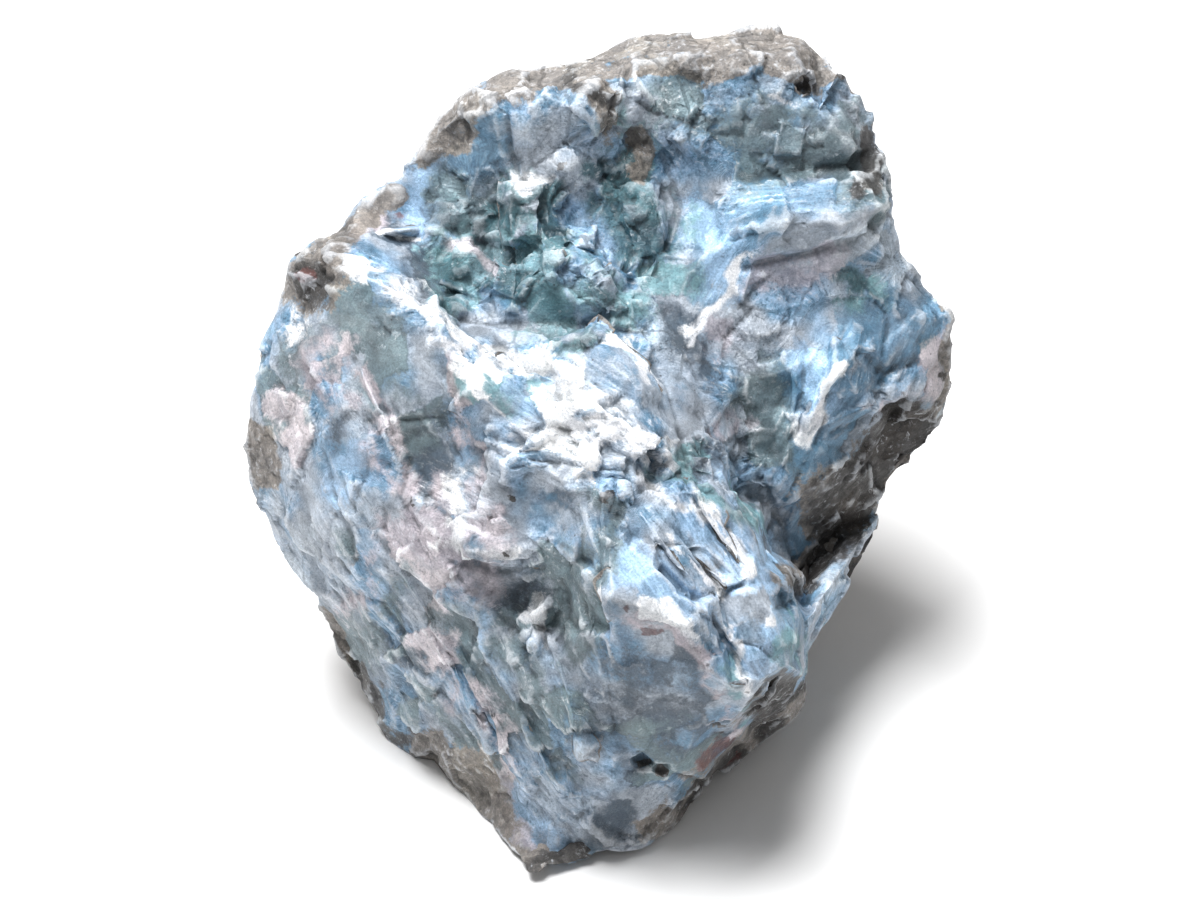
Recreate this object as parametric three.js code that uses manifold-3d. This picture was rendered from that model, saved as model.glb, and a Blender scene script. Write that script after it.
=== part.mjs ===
// A piece of rough larimar that fills the palm: one natural stone, broken on every side, that stands
// on a small flat spot. Its landmarks are the corners and ridges that someone facing the stone would
// point at. They make a cage of flat facets, which gets the slight unevenness of broken stone. Then
// flat-faced crystals, ribs and lumps of rind are joined on, and pits and shell-shaped scoops cut in.
import * as THREE from "three";
import { ConvexGeometry } from "three/addons/geometries/ConvexGeometry.js";
import { ConvexHull } from "three/addons/math/ConvexHull.js";
import { ImprovedNoise } from "three/addons/math/ImprovedNoise.js";
import { TessellateModifier } from "three/addons/modifiers/TessellateModifier.js";
import { mergeVertices } from "three/addons/utils/BufferGeometryUtils.js";
import Module from "manifold-3d";

// Driving sizes, in millimetres. The stone is about 73 wide, 67 deep and 63 high.
const VIEW_TILT = THREE.MathUtils.degToRad(40); // how far down the viewer looks at the stone
const VIEW_DISTANCE = 400; // from the viewer's eye to the middle of the stone
const MIDDLE_HEIGHT = 33; // height above the ground of the point that the viewer looks at
const GLOBE_RADIUS = 44; // of the circle in the view that the whole outline lies in
const LONGEST_EDGE = 5.2; // of a triangle, once the facets are divided
const GROUND_SLAB = 200; // side of the block that the flat spot is cut with
const ROOT = 1.6; // how deep the foot of a crystal lies in the stone
const FOOT = [1.15, 1.5]; // length and width of that foot, as a share of the crystal's own
const TOP_LENGTH = 0.8; // of a crystal, as a share of its length
const CORNER_PLAY = 0.2; // how far a crystal's corners stray, as a share of its size
const LUMP_PLAY = 0.3; // how far a lump is from round, as a share of its radius

// Axes of the view in the stone's own frame: right is +X, the far side is +Y and up is +Z.
const RISE = new THREE.Vector3(0, Math.sin(VIEW_TILT), Math.cos(VIEW_TILT));
const TOWARDS = new THREE.Vector3(0, -Math.cos(VIEW_TILT), Math.sin(VIEW_TILT));
const ACROSS = new THREE.Vector3(1, 0, 0);
const MIDDLE = new THREE.Vector3(0, 0, MIDDLE_HEIGHT);
const EYE = MIDDLE.clone().addScaledVector(TOWARDS, VIEW_DISTANCE);

// Landmarks that the viewer sees: [across to the right, rise up the view, towards the viewer].
const SEEN = {
  outlineLeft: [
    [-11.1, 37.4, -2], [-13.6, 35.7, -1], [-16, 31.9, -1], [-19.1, 30.4, -4], [-21, 28.9, -4],
    [-22.6, 26.5, -3], [-23.8, 23.9, -1], [-25.5, 21.5, 2], [-27.6, 20.2, 3], [-29.2, 19.7, 1],
    [-31.1, 18.3, -1], [-31.9, 16.6, -2], [-31.1, 14.5, -1], [-31.9, 13.3, -1], [-31.3, 10.7, 0],
    [-32.8, 8.9, -1], [-34.9, 7.4, -4], [-35.4, 6, -5], [-35.1, 3.2, -5], [-35.8, 1, -7],
    [-34.9, -1.8, -9], [-33.6, -3.6, -8], [-32.4, -9.8, -12], [-31.2, -11.2, -13],
    [-29.7, -14, -14], [-27.6, -16.9, -15], [-26, -18.8, -15.5], [-24.7, -21.3, -16],
    [-23.7, -24.5, -16], [-22.8, -26.8, -16.5],
  ],
  outlineBottom: [
    [-21.2, -29.1, -15.5], [-18.8, -30.9, -14], [-16.7, -31.2, -13.5], [-14.2, -34.1, -10.5],
    [-9.7, -37.3, -5], [-8.1, -40.9, -1], [-7.1, -42.5, 0.8], [-5.8, -42.4, 0.8],
    [-4.3, -40.7, -1], [-2.4, -39.8, -2], [-0.7, -40.7, -1], [2, -40.6, -1], [4.1, -39.8, -2.4],
    [7.4, -37.7, -5], [9.1, -35.7, -7.5], [10.7, -33.7, -8.4], [13.5, -30.2, -11],
    [15, -30.3, -12.5], [16.1, -29.5, -12.5], [16.2, -27.9, -10], [19, -26.6, -12],
  ],
  outlineRight: [
    [20.1, -25, -12], [20.2, -23.2, -8], [20.6, -20.8, -3], [20.8, -17.1, 1], [19.3, -14.9, 3],
    [20.4, -12.9, -13], [21.4, -11.1, -13], [22.6, -8.5, -12], [24.9, -7.6, -14],
    [28.3, -5.9, -16], [30.1, -4.4, -16], [31.1, -2.4, -15], [31.6, 0.3, -14], [32.8, 2.1, -13],
    [34.4, 3, -13], [34.7, 5, -11], [35.9, 7.8, -10], [35.4, 11, -9], [35.3, 13, -9],
    [32.8, 15.6, -8], [30.3, 19.4, -6], [29.1, 22.4, -5], [28.7, 25.1, -4], [27.8, 26.9, -5],
    [27.1, 30.1, -5], [27.8, 32.1, -6], [27.6, 33.6, -6], [26.1, 35.5, -5], [24.9, 38, -5],
  ],
  outlineTop: [
    [21.9, 40, -7], [20.9, 41.3, -8], [18.6, 42.3, -8], [13.9, 42.5, -8], [9.9, 42, -8],
    [5.2, 42.1, -9], [3.2, 41.6, -8], [1.2, 39.4, -3], [-3.5, 38.4, -4],
  ],
  rimEdge: [
    [-13, 35.3, 1], [-10, 35.8, 2], [-5.5, 35.6, 2.6], [-1, 36.2, 3], [1.6, 35.6, 3],
    [2.5, 38.6, -0.4], [6.7, 39.3, -0.6], [13, 39.6, -0.8], [19.1, 39.7, -1.6],
    [24.1, 38.3, -2.6],
  ],
  rimLump: [[-4, 34.6, 2.8], [-0.6, 33, 3], [1, 34, 2.2]],
  slabFace: [
    [-11, 31, 0], [-6, 30, 0.5], [0, 31, 0], [5, 30, -1.4], [10, 34, -0.6], [16, 34, -0.6],
    [22, 34, -1], [25, 30, -1.6], [14, 30, -1.4], [19, 29.5, -2], [10, 27.5, -1.8],
    [-9, 28, -0.6], [5.4, 35.4, -0.6],
  ],
  ledgeFoot: [[15, 27, -2.2], [20, 28, -2.8], [25, 28.6, -3.2]],
  ledgeLip: [
    [14.3, 18.8, 1.6], [16, 20.2, 2.5], [20, 21.2, 2.6], [23, 21.9, 2.2], [26, 23.2, 0.6],
    [28.1, 24.2, -2],
  ],
  recessUnderLedge: [[16, 18.3, -1], [20, 19.2, -1.4], [23.8, 20.2, -1.2], [27, 20.5, -3.2]],
  hollow: [
    [4, 21, -2], [8, 25, -2.5], [6, 17, -1.5], [2.5, 19.5, -0.7], [0, 25, -1.5], [4, 26, -2.4],
    [-2.5, 22.5, -0.6], [-13, 23.5, -1.5], [-15, 19.6, -0.4], [10, 19, -1], [12, 23, -1.5],
    [8, 14.5, -0.5], [4, 11.4, 1.2], [13, 26, -2],
  ],
  greenPillow: [
    [-8, 26.5, 1.2], [-5.2, 26.3, 1.3], [-8.4, 21.5, 1.8], [-5.4, 21.5, 2.2], [-12, 17, 1.5],
    [-6, 18, 4.6], [-1, 17.6, 4.4], [3, 15, 2], [2, 18.6, 1.8], [-4, 12.7, 3.8], [-10, 13, 3.8],
    [-15.6, 15.4, 2.6], [1, 12.4, 2.7], [-12.6, 19.8, 1.2],
  ],
  leftShoulder: [
    [-20, 25, 0], [-17, 28, -0.6], [-22.5, 22, 1], [-20, 20.6, 0.4], [-17, 21, -1],
    [-21, 18.9, 3], [-25, 19.5, 4.4],
  ],
  leftRidge: [
    [-27.1, 19, 5], [-24, 17.5, 7], [-20.5, 16.2, 8.2], [-17, 13, 10], [-14.8, 10, 11.6],
  ],
  behindRidge: [[-20, 17.6, 5], [-15.4, 13.4, 5.4], [-10.6, 10.4, 5.6], [-6, 10.4, 5.8]],
  upperFlank: [
    [-27.5, 15, 4], [-24.5, 12, 6], [-23.5, 7, 5.6], [-20, 9, 8.6], [-20, 3, 8], [-16, 7, 10],
    [-15, 3, 9], [-30, 10, 2], [-27, 5, 4], [-31, 5, 0], [-28, 2, 3.6], [-33, 1, -3],
  ],
  facetsOnFlank: [
    [-24, 1, 6], [-19.5, 0.5, 7], [-17, 2.4, 8.6], [-14, -1, 9], [-16, -4, 6.8],
    [-24.5, -4, 4.6], [-20, -6, 6.4], [-12, 2, 12], [-10, -3, 12.4], [-30, -3, -1],
    [-27, -7, 1], [-30, -9, -5],
  ],
  lowerFlank: [
    [-25, -13, -1], [-20, -12, 4], [-15, -9, 8.5], [-16, -15, 5], [-22, -19, -4],
    [-18, -23, -2], [-20, -27, -9], [-15, -29, -5], [-12, -23, 3], [-10, -31, -1],
    [-8, -37, -3], [-6, -31, 3], [-4, -37, 0], [-7, -24, 7.4], [-1, -32, 4.4], [-2, -25, 10],
    [0, -38, 0.6], [-10, -20, 6],
  ],
  recessOnFlank: [
    [-7, -5, 12.8], [-3, -7, 14.6], [-12, -9.5, 11], [-6, -9.4, 12.6], [-6, -12, 9],
    [-8, -15, 7.4], [-11, -13, 7.6], [-4, -15, 11], [-6, -19.4, 9], [-1, -11, 15.6],
    [-12, -17, 6.2], [-1, -19, 14],
  ],
  whiteCrest: [
    [-13, 7.5, 12], [-10, 9, 9.4], [-8, 6, 11.6], [-6, 3, 13.2], [-4, 5, 12], [-2, 11, 8.6],
    [2, 9, 8.4], [4, 6, 9.8], [2, 3, 13.2], [-2, 1, 14.6], [6, 2, 10], [8, -2, 9.8],
    [4, -1, 13.6], [0, -3, 15.2], [-4.5, -3, 14.6],
  ],
  valley: [
    [9, 5, 2.6], [12, 5, 0], [5, 10, 2.6], [12, 0.6, 1], [10, 12, -0.5], [13.5, 2, -2.4],
    [14, -4, -2], [16, -5, -5], [17, -10, -6], [19, -11, -8], [15, 7, -2.4],
  ],
  wing: [
    [14.5, 14, -1.6], [18, 16.4, -1.6], [20, 13, -2.6], [25, 16, -3.2], [30, 15, -5],
    [33, 12, -6.6], [27, 10, -2.6], [21.5, 9, -1.4], [23.8, 8, -0.4], [21.5, 1.3, -2.8],
    [18, 5, -3.2], [20, -3, -4], [23.5, -2, -5.4], [27, 3, -5.2], [28, 5.6, -4.8],
    [31, 6, -6], [33, 5, -7.6],
  ],
  underWing: [[30, 3, -9.4], [26, -1, -9], [23, -5, -8.6], [28, -1, -12], [25, -4.4, -11.4]],
  noseSlab: [
    [0.9, -9.7, 16.9], [5.4, -8.9, 16.1], [6.3, -11.9, 17], [9.3, -14.8, 16.8],
    [8.6, -17.5, 17.7], [1.3, -14.8, 19],
  ],
  noseRibs: [
    [3.4, -4.6, 14.4], [6.6, -9.6, 15], [9.8, -14.6, 15.2], [8.4, -3.4, 12], [10.6, -5, 12.2],
    [15, -12.6, 13], [12.4, -14.6, 13.4], [8.4, -9.4, 14.4], [12.6, -4.4, 9.4],
    [15.6, -8.4, 9.8], [16.6, -11.6, 10.4], [18.8, -13.2, 7.6],
  ],
  rightBlock: [
    [11.2, -14.6, 14.6], [14.5, -14.3, 13.6], [17.2, -16.1, 12.4], [19, -21.5, 11.4],
    [16.2, -23, 12.6], [14.6, -22.4, 13.2], [19.6, -16.6, 7], [20, -22.2, 5],
  ],
  lowerWedge: [
    [10.2, -16.6, 16.6], [13.2, -19.8, 13.6], [14.6, -22.9, 14.4], [15, -24.4, 13.2],
    [10.5, -21.6, 15.8], [9.2, -20, 16.2], [12.6, -23.4, 14.8], [13.8, -26.2, 9.6],
    [16.8, -24.6, 7.4], [18.6, -23.6, 4],
  ],
  noseFront: [
    [0.6, -19, 15.8], [0.4, -25, 11], [5, -25, 12], [10, -27.2, 9.6], [4.2, -30, 7.6],
    [8.6, -30.4, 6.2], [13.2, -28, 5], [4, -31.6, 5.2], [6.8, -33, 3.8], [10.2, -32, 1.8],
    [2, -34, 3.4], [5, -36.5, 0], [18, -25, -1], [12.8, -29.4, -0.8], [6.6, -34.2, 0.8],
  ],
};

// Landmarks on the far side and underneath, in the stone's own frame.
const HIDDEN = {
  back: [
    [14, 37, 50], [2, 37, 49], [-9, 33, 51], [24, 32, 48], [-19, 27, 46], [31, 27, 37],
    [19, 36, 36], [7, 40, 35], [-8, 37, 35], [-21, 30, 33], [-29, 20, 35], [-32, 14, 23],
    [-24, 25, 17], [-11, 33, 18], [6, 36, 18], [20, 31, 19], [28, 21, 23],
  ],
  underTheWing: [[19.5, -10, 15], [19.7, -5, 17], [19.9, 0, 15.4], [22, 6, 17]],
  backFoot: [[-25, 15, 5], [-15, 25, 4], [1, 29, 4], [14, 25, 4], [20, 14, 8], [-28, 8, 9]],
  underside: [
    [20, 5, 9], [17, -3, 4], [21, -5, 11], [-17, 0, 2.4], [-13, -12, 1.6], [-6, -19, 1],
    [4, -19, 0.8], [11, -12, 1.4], [13, 2, 2.2], [11, 15, 2.4], [-2, 20, 1.6], [-13, 13, 1.8],
  ],
  flatSpot: [
    [-11, 0, -1.5], [-7, -9, -1.5], [2, -12, -1.5], [8, -4, -1.5], [8, 8, -1.5], [-1, 13, -1.5],
    [-9, 9, -1.5],
  ],
};

const ROUGHNESS = [{ wavelength: 11, height: 0.5 }, { wavelength: 5.5, height: 0.4 }];
const RIND_LUMPS = { wavelength: 7.5, height: 1.3 };

// Flat-faced crystals and ribs that stand out of the side that the viewer sees. Each is [across,
// rise] of its middle, its length and width, the turn of its length from across to rise in degrees,
// how far its two ends stand out, and its taper: the width of the top as a share of the foot.
const CRYSTALS = {
  greenHollow: [
    [-7.4, 23.8, 6.4, 3.8, 88, 1.2, 0.8, 0.85], [-2.1, 21.4, 3.6, 3.3, 80, 1, 0.7, 0.85],
    [-4.7, 18.3, 3.2, 2.3, 84, 0.7, 0.6, 0.8], [-13, 17.6, 6, 5, 64, 0.5, 0.4, 0.8],
    [4, 23, 8, 5, 104, 0.6, 0.9, 0.7], [5.4, 18.7, 3, 1.6, 70, 0.6, 0.4, 0.5],
    [-9.5, 17, 4, 3.4, 75, 0.6, 0.6, 0.75], [0.6, 15.4, 4.6, 3.2, 120, 0.5, 0.5, 0.7],
  ],
  leftShoulder: [[-19.8, 21.9, 4, 0.9, 4, 0.4, 0.3, 0.4], [-22.8, 6.2, 9, 1.6, -62, 0.6, 0.6, 0.2]],
  greenFacets: [[-10.3, 5.5, 7, 5, -33, 1, 0.9, 0.12]],
  whiteCrest: [
    [1.7, 7.8, 9.6, 4.8, -48, 0.9, 1.3, 0.12], [-6, 2, 5, 3.2, 20, 0.8, 0.4, 0.6],
    [-2, 3.2, 5, 3.6, -20, 0.9, 0.6, 0.6], [2.4, 1, 5, 3.8, -40, 0.7, 0.7, 0.6],
    [0, -1.6, 6, 2.6, 0, 0.6, 0.5, 0.5], [-7, -1.2, 6.4, 2.4, 14, 0.7, 0.4, 0.4],
  ],
  recessOnFlank: [
    [-9.7, -10.2, 8, 3, 4, 1.4, 0.7, 0.35], [-7.6, -17.6, 3.4, 1.6, 118, 0.9, 0.5, 0.4],
    [-5.8, -16.1, 3, 1.5, 38, 0.6, 0.8, 0.4], [-6.4, -19.4, 3.2, 1.4, 80, 0.7, 0.4, 0.4],
  ],
  crystalsInValley: [
    [6.5, -2, 3.2, 2.8, 40, 0.5, 0.3, 0.6], [10, -1.6, 3.4, 2.6, 0, 0.4, 0.5, 0.6],
    [13.6, -2, 3.4, 2.4, -35, 0.5, 0.3, 0.5], [18, -3.7, 5, 3.6, -64, 0.1, 0.4, 0.6],
  ],
  noseRibs: [
    [7.6, -11.5, 7, 1.5, -55, 0.1, 0.5, 0.2], [10, -11.3, 7.6, 1.5, -42, 0.1, 0.6, 0.2],
    [11.9, -8.3, 11, 2.2, -55, 0.2, 0.8, 0.2], [17.8, -11.6, 4.6, 1.6, -55, 0.3, 0.6, 0.2],
    [0.3, -8, 9, 1.4, -88, 0.4, 0.2, 0.2], [2.7, -5, 5.4, 1.8, -66, 0.4, 0.2, 0.3],
  ],
  wingFan: [
    [22.2, 5.2, 9.6, 2.6, 62, 0.4, 0.9, 0.12], [24.2, 3.4, 8, 2.6, 22, 0.4, 0.7, 0.15],
    [19.5, 5.6, 7, 2.4, 86, 0.4, 0.6, 0.15], [19.4, -6, 8, 2.6, 72, 0.6, 0.4, 0.2],
    [25, 10, 6, 3, 70, 0.5, 0.5, 0.3], [30.4, 11.6, 7, 3.2, 50, 0.5, 0.5, 0.3],
    [28, 6, 6, 2.6, -10, 0.5, 0.4, 0.3],
  ],
  upperSlab: [[19, 31, 4, 3.4, 80, 0.4, 0.4, 0.7], [9.6, 32, 5, 4, 60, 0.4, 0.4, 0.7]],
  flankFibres: [
    [-18, -15, 13, 1.8, -65, 0.4, 0.4, 0.2], [-15, -21, 16, 1.7, -66, 0.5, 0.4, 0.2],
    [-11, -26, 16, 1.8, -68, 0.5, 0.5, 0.2], [-7.4, -27, 16, 1.6, -70, 0.6, 0.4, 0.2],
    [-3.4, -24, 13, 1.5, -76, 0.4, 0.2, 0.2], [-2.6, -34, 6, 1.5, -72, 0.3, 0.1, 0.2],
    [-20, -24, 9, 1.8, -62, 0.4, 0.4, 0.2],
  ],
};

// Wedge-shaped grooves between the slab, the ribs, the block and the wedge of the nose, and where the
// flank meets it: [across, rise] of the middle, length, width, turn as above, and depth.
const GROOVES = [
  [7.8, -13.2, 8, 1.8, -42, 0.7], [12.5, -19, 9.6, 1.9, -60, 1.1], [-0.6, -18, 14, 3, -90, 0.8],
  [11.5, -11.2, 7, 1.4, -47, 0.5], [2.8, -7.6, 5, 1.5, -66, 0.5], [14, -9, 7, 1.5, -58, 0.5],
];

// Lumps of rind on the side that the viewer sees: [across, rise], radius and how far it stands out.
const LUMPS = [
  [-29.4, 17.2, 4, 1], [-11.5, 36, 3, 0.4], [-7.4, 36.2, 3.4, 0.5], [-3.6, 36.4, 3, 0.6],
  [-0.6, 34.8, 3, 0.8], [18.6, -24.4, 3, 0.6], [13.2, -29, 2.4, 0.5], [-13, -31.4, 3.4, 0.5],
  [28, 1.4, 3.4, 0.6], [25, -4.6, 3, 0.5],
];

// Pits and shell-shaped scoops on that side: [across, rise], radius of the ball and depth of the cut.
const SCOOPS = [
  [20.5, 36.6, 1.1, 1.4], [4, 31, 1.7, 1.2], [4.2, -31.4, 1.1, 1.4], [6.2, -32, 0.9, 1],
  [12, -27.6, 1.1, 1.2], [15.8, -25.8, 1.5, 1.6], [17.2, -23.4, 1, 1.2], [-6.4, -5.6, 10.2, 1],
  [-9, -14, 9.3, 0.9], [-19.3, 20.4, 8.5, 0.7], [-16.8, -0.5, 8.5, 0.8], [-26, -0.2, 10.2, 0.6],
  [-29, -5, 10.2, 0.5], [-21, -2.6, 8.5, 0.5], [12, 21.6, 11.9, 0.6], [9.4, 16.4, 10.2, 0.5],
  [19.2, 16, 11.9, 0.7], [27, 0.6, 11.9, 0.5], [30.6, 8, 10.2, 0.4],
  [0, 28, 8.5, 0.6], [-13, 23.6, 8.5, 0.6], [-5.6, 31.6, 11.9, 0.5],
];

// Scoops on the far side, as [azimuth, elevation] in degrees around the middle of the stone. The
// azimuth is 0 on the side of the viewer and 90 at the right.
const FAR_SCOOPS = [
  [150, 4, 60, 2.2], [186, 15, 70, 2.6], [222, 8, 60, 2.2], [170, -18, 55, 2.2],
  [206, -22, 55, 2.2], [248, -12, 40, 1.4], [120, -16, 36, 1.4],
];

const noise = new ImprovedNoise();

// A landmark of the view in the stone's frame. What is nearer the eye looks bigger, so it is drawn in.
function standing([across, rise, towards]) {
  const scale = 1 - towards / VIEW_DISTANCE;
  return new THREE.Vector3(across * scale, 0, 0)
    .add(MIDDLE)
    .addScaledVector(RISE, rise * scale)
    .addScaledVector(TOWARDS, towards);
}

// A point of the stone's frame as the viewer sees it: [across, rise, towards].
function asSeen(point) {
  const fromMiddle = point.clone().sub(MIDDLE);
  const towards = fromMiddle.dot(TOWARDS);
  const scale = 1 - towards / VIEW_DISTANCE;
  return new THREE.Vector3(point.x / scale, fromMiddle.dot(RISE) / scale, towards);
}

// Where a landmark goes on a globe whose near half holds what the viewer sees, and whose far half
// holds what is hidden. The hull of such points joins each one to its neighbours in the view.
function onGlobe(seen, half) {
  const x = seen.x / GLOBE_RADIUS;
  const y = seen.y / GLOBE_RADIUS;
  const far = x * x + y * y;
  return new THREE.Vector3(2 * x, 2 * y, half * (1 - far)).divideScalar(1 + far);
}

// The landmarks joined by flat facets, as one closed cage.
function cageOf(near, far) {
  const places = new Map([
    ...near.map((point) => [onGlobe(asSeen(point), 1), point]),
    ...far.map((point) => [onGlobe(asSeen(point), -1), point]),
  ]);
  const corners = [];
  for (const face of new ConvexHull().setFromPoints([...places.keys()]).faces) {
    for (let turn = 0, edge = face.edge; turn < 3; turn++, edge = edge.next) {
      corners.push(places.get(edge.head().point));
    }
  }
  return new THREE.BufferGeometry().setFromPoints(corners);
}

// A repeatable number from -1 to 1 for a place.
function chance({ x, y, z }, salt) {
  const wave = Math.sin(x * 127.1 + y * 311.7 + z * 74.7 + salt * 53.3) * 43758.5453;
  return 2 * (wave - Math.floor(wave)) - 1;
}

function unevenness(point, { wavelength, height }) {
  const p = point.clone().divideScalar(wavelength);
  return noise.noise(p.x, p.y, p.z) * height;
}

// How far the surface stands out of the cage at a point. The rind on the far side is the roughest.
function relief(point, normal) {
  const rind = 1 - THREE.MathUtils.smoothstep(normal.dot(TOWARDS), -0.1, 0.25);
  const layers = ROUGHNESS.map((layer) => unevenness(point, layer));
  return layers.reduce((sum, height) => sum + height, unevenness(point, RIND_LUMPS) * rind);
}

// The cage divided into small triangles and pushed out or in by the relief.
function brokenSurface(cage) {
  const divided = new TessellateModifier(LONGEST_EDGE, 14).modify(cage);
  const surface = mergeVertices(divided, 1e-4);
  surface.computeVertexNormals();
  const { position, normal } = surface.attributes;
  for (let i = 0; i < position.count; i++) {
    const point = new THREE.Vector3().fromBufferAttribute(position, i);
    const outwards = new THREE.Vector3().fromBufferAttribute(normal, i);
    const moved = point.clone().addScaledVector(outwards, relief(point, outwards));
    position.setXYZ(i, moved.x, moved.y, moved.z);
  }
  surface.deleteAttribute("normal");
  return surface;
}

// Where a sight line first meets the surface, and which way the surface faces there.
function meet(surface, eye, aim) {
  const sight = new THREE.Raycaster(eye, aim.clone().sub(eye).normalize());
  const [{ point, face }] = sight.intersectObject(new THREE.Mesh(surface));
  return { point, normal: face.normal.clone() };
}

function inView(surface, [across, rise]) {
  return meet(surface, EYE, standing([across, rise, 0]));
}

function fromAround(surface, [azimuth, elevation]) {
  const up = THREE.MathUtils.degToRad(90 - elevation);
  const round = THREE.MathUtils.degToRad(azimuth);
  const level = new THREE.Vector3(Math.sin(round), -Math.cos(round), 0).multiplyScalar(Math.sin(up));
  const out = level.setZ(Math.cos(up));
  return meet(surface, MIDDLE.clone().addScaledVector(out, GROUND_SLAB), MIDDLE);
}

// The directions of something long that lies on the surface, turned that many degrees in the view.
function lying(normal, turn) {
  const angle = THREE.MathUtils.degToRad(turn);
  const up = normal.clone().lerp(TOWARDS, 0.4).normalize();
  const lie = ACROSS.clone().multiplyScalar(Math.cos(angle)).addScaledVector(RISE, Math.sin(angle));
  const along = lie.addScaledVector(up, -lie.dot(up)).normalize();
  return { up, along, side: new THREE.Vector3().crossVectors(up, along) };
}

// A crystal with flat faces, or a rib where the taper is small. Its corners stray a little.
function crystal(wasm, { point, normal }, [, , length, width, turn, startOut, endOut, taper]) {
  const { up, along, side } = lying(normal, turn);
  const corners = [];
  for (const [end, out] of [[-1, startOut], [1, endOut]]) {
    for (const flank of [-1, 1]) {
      for (const [long, wide, height] of [[...FOOT, -ROOT], [TOP_LENGTH, taper, out]]) {
        const salt = corners.length;
        const stretch = 0.5 * length * (long + CORNER_PLAY * chance(point, salt));
        const spread = 0.5 * width * (wide + CORNER_PLAY * chance(point, salt + 9));
        const corner = point.clone().addScaledVector(along, end * stretch);
        corners.push(corner.addScaledVector(side, flank * spread).addScaledVector(up, height));
      }
    }
  }
  return toSolid(wasm, new ConvexGeometry(corners));
}

// The wedge that cuts a groove. It ends in a sharp edge under the surface.
function wedge(wasm, { point, normal }, [, , length, width, turn, depth]) {
  const { up, along, side } = lying(normal, turn);
  const corners = [];
  for (const end of [-0.5, 0.5]) {
    for (const [long, wide, height] of [[1, 1, depth], [1, -1, depth], [0.35, 0, -depth]]) {
      const corner = point.clone().addScaledVector(along, end * length * long);
      corners.push(corner.addScaledVector(side, width * wide).addScaledVector(up, height));
    }
  }
  return toSolid(wasm, new ConvexGeometry(corners));
}

// A ball whose middle is out from the surface by `out` of its radius, less than round if it has play.
function ball(wasm, { point, normal }, radius, out, play) {
  const round = new THREE.IcosahedronGeometry(radius, 1 + Math.floor(radius / 9));
  const middle = point.clone().addScaledVector(normal, out);
  const { position } = round.attributes;
  for (let i = 0; i < position.count; i++) {
    const p = new THREE.Vector3().fromBufferAttribute(position, i);
    const q = p.clone().multiplyScalar(1.4 / radius).add(middle);
    p.multiplyScalar(1 + play * noise.noise(q.x, q.y, q.z)).add(middle);
    position.setXYZ(i, p.x, p.y, p.z);
  }
  return toSolid(wasm, round);
}

// The broken surface with its scoops and pits cut in, its crystals, ribs and lumps joined on, and the
// grooves cut between them.
function finished(wasm, surface) {
  const lumpAt = (place, radius, out) => ball(wasm, place, radius, out - radius, LUMP_PLAY);
  const scoopAt = (place, radius, depth) => ball(wasm, place, radius, radius - depth, 0);
  const scoops = [
    ...SCOOPS.map(([x, y, radius, depth]) => scoopAt(inView(surface, [x, y]), radius, depth)),
    ...FAR_SCOOPS.map(([az, el, radius, depth]) => scoopAt(fromAround(surface, [az, el]), radius, depth)),
  ];
  const grooves = GROOVES.map((values) => wedge(wasm, inView(surface, values), values));
  const added = [
    ...Object.values(CRYSTALS).flat().map((values) => crystal(wasm, inView(surface, values), values)),
    ...LUMPS.map(([x, y, radius, out]) => lumpAt(inView(surface, [x, y]), radius, out)),
  ];
  const scooped = scoops.reduce((stone, scoop) => stone.subtract(scoop), toSolid(wasm, surface));
  const joined = added.reduce((stone, piece) => stone.add(piece), scooped);
  return grooves.reduce((stone, groove) => stone.subtract(groove), joined);
}

function toSolid(wasm, geometry) {
  const closed = geometry.clone();
  closed.deleteAttribute("normal");
  closed.deleteAttribute("uv");
  const merged = mergeVertices(closed, 1e-4);
  const mesh = new wasm.Mesh({
    numProp: 3,
    vertProperties: merged.attributes.position.array,
    triVerts: new Uint32Array(merged.index.array),
  });
  return new wasm.Manifold(mesh);
}

function toGeometry(solid) {
  const { vertProperties, triVerts } = solid.getMesh();
  const geometry = new THREE.BufferGeometry();
  geometry.setAttribute("position", new THREE.BufferAttribute(vertProperties, 3));
  geometry.setIndex(new THREE.BufferAttribute(triVerts, 1));
  geometry.computeVertexNormals();
  return geometry;
}

// Everything below the ground is taken off, which leaves the flat spot that the stone stands on.
function cutFlat(wasm, stone) {
  const ground = new THREE.BoxGeometry(GROUND_SLAB, GROUND_SLAB, GROUND_SLAB);
  ground.translate(0, 0, -GROUND_SLAB / 2);
  return stone.subtract(toSolid(wasm, ground));
}

const wasm = await Module();
wasm.setup();

const near = Object.values(SEEN).flat().map(standing);
const far = Object.values(HIDDEN).flat().map((place) => new THREE.Vector3(...place));
const stone = cutFlat(wasm, finished(wasm, brokenSurface(cageOf(near, far))));

const larimar = new THREE.MeshStandardMaterial({ color: 0x9db4c4, roughness: 0.55, metalness: 0 });
const larimarStone = new THREE.Mesh(toGeometry(stone), larimar);
larimarStone.name = "larimar_stone";

const part = new THREE.Group();
part.add(larimarStone);

export default part;
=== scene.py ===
"""A piece of rough larimar on a pale floor: the stone's fine relief, its minerals and the stage."""
import math

import bmesh
import bpy
import numpy as np
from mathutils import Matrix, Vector, noise


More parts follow.
